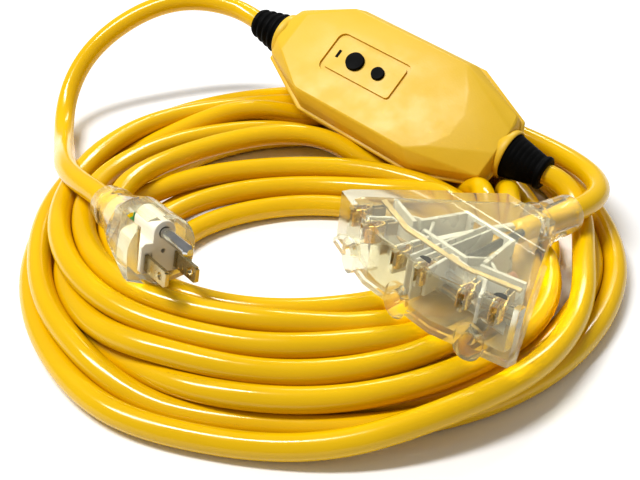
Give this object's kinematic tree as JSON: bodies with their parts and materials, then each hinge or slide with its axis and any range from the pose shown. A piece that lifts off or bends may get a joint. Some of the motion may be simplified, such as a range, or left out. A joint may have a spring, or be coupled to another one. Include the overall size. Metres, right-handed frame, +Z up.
{
  "type": "coiled extension cord",
  "caption": "Coiled heavy three-core extension cord with a grounding plug, an in-line ground-fault module with two buttons and a clear fan-shaped outlet tap.",
  "frame": {"origin": "centre of the bounding box, on the surface that the coil lies on", "axes": "+Z up; -Y towards the outlet faces and the plug, +Y towards the ground-fault module"},
  "size_m": [0.27, 0.2826, 0.0685],
  "materials": {
    "cord": "glossy vinyl jacket",
    "clear": "clear moulded vinyl",
    "white_plastic": "moulded white",
    "shell": "fine moulded texture",
    "black_plastic": "satin",
    "black_rubber": "satin",
    "blade": "nickel-tinted brass",
    "contact": "bright",
    "steel": "plated",
    "board": "glass-epoxy board",
    "ferrite": "coated",
    "winding": "enamelled copper",
    "component": "moulded component",
    "wire_black": "insulated wire",
    "wire_white": "insulated wire",
    "wire_green": "insulated wire",
    "lamp": "small neon lamp"
  },
  "bodies": {
    "root": {"coil_cord": "cord", "output_cord": "cord", "tap_cord": "cord", "plug_cord": "cord", "plug_body": "clear", "plug_blade_carrier": "white_plastic", "plug_line_blade": "blade", "plug_neutral_blade": "blade", "plug_ground_pin": "steel", "plug_line_wire": "wire_black", "plug_neutral_wire": "wire_white", "plug_ground_wire": "wire_green", "gfci_top_shell": "shell", "gfci_bottom_shell": "shell", "gfci_gasket": "black_rubber", "gfci_screws": "steel", "inlet_boot": "black_rubber", "outlet_boot": "black_rubber", "reset_spring": "steel", "plunger_spring": "steel", "test_spring": "steel", "test_contact_strip": "contact", "led_lens": "black_plastic", "led": "component", "circuit_board": "board", "sense_core": "ferrite", "neutral_core": "ferrite", "solenoid_bobbin": "white_plastic", "solenoid_winding": "winding", "solenoid_frame": "steel", "line_fixed_contact": "contact", "neutral_fixed_contact": "contact", "varistor": "component", "capacitor": "component", "control_chip": "black_plastic", "resistors": "component", "inlet_line_wire": "wire_black", "inlet_neutral_wire": "wire_white", "ground_wire": "wire_green", "outlet_line_wire": "wire_black", "outlet_neutral_wire": "wire_white", "tap_body": "clear", "tap_inner_frame": "white_plastic", "tap_line_bus": "contact", "tap_neutral_bus": "contact", "tap_ground_bus": "contact", "tap_lamp": "lamp", "tap_lamp_resistor": "component", "tap_line_wire": "wire_black", "tap_neutral_wire": "wire_white", "tap_ground_wire": "wire_green"},
    "reset": {"reset_button": "black_plastic", "reset_stem": "steel"},
    "test": {"test_button": "black_plastic"},
    "plunger": {"solenoid_plunger": "steel"},
    "carrier": {"contact_carrier": "component", "line_contact_arm": "contact", "neutral_contact_arm": "contact"}
  },
  "joints": [
    {"name": "reset_slide", "type": "slide", "parent": "root", "child": "reset", "axis": [0.2698, 0.5201, -0.8104], "range_m": [0, 0.002], "stiffness_N_per_m": 600, "springref_m": -0.001, "deforming": ["reset_spring"]},
    {"name": "test_slide", "type": "slide", "parent": "root", "child": "test", "axis": [0.2698, 0.5201, -0.8104], "range_m": [0, 0.0015], "stiffness_N_per_m": 600, "springref_m": -0.001, "deforming": ["test_spring"]},
    {"name": "plunger_slide", "type": "slide", "parent": "root", "child": "plunger", "axis": [0.7666, -0.6252, -0.1461], "range_m": [0, 0.0025], "stiffness_N_per_m": 300, "springref_m": -0.001, "deforming": ["plunger_spring"]},
    {"name": "carrier_slide", "type": "slide", "parent": "root", "child": "carrier", "axis": [-0.2698, -0.5201, 0.8104], "range_m": [0, 0.002], "stiffness_N_per_m": 400, "springref_m": -0.0005}
  ]
}
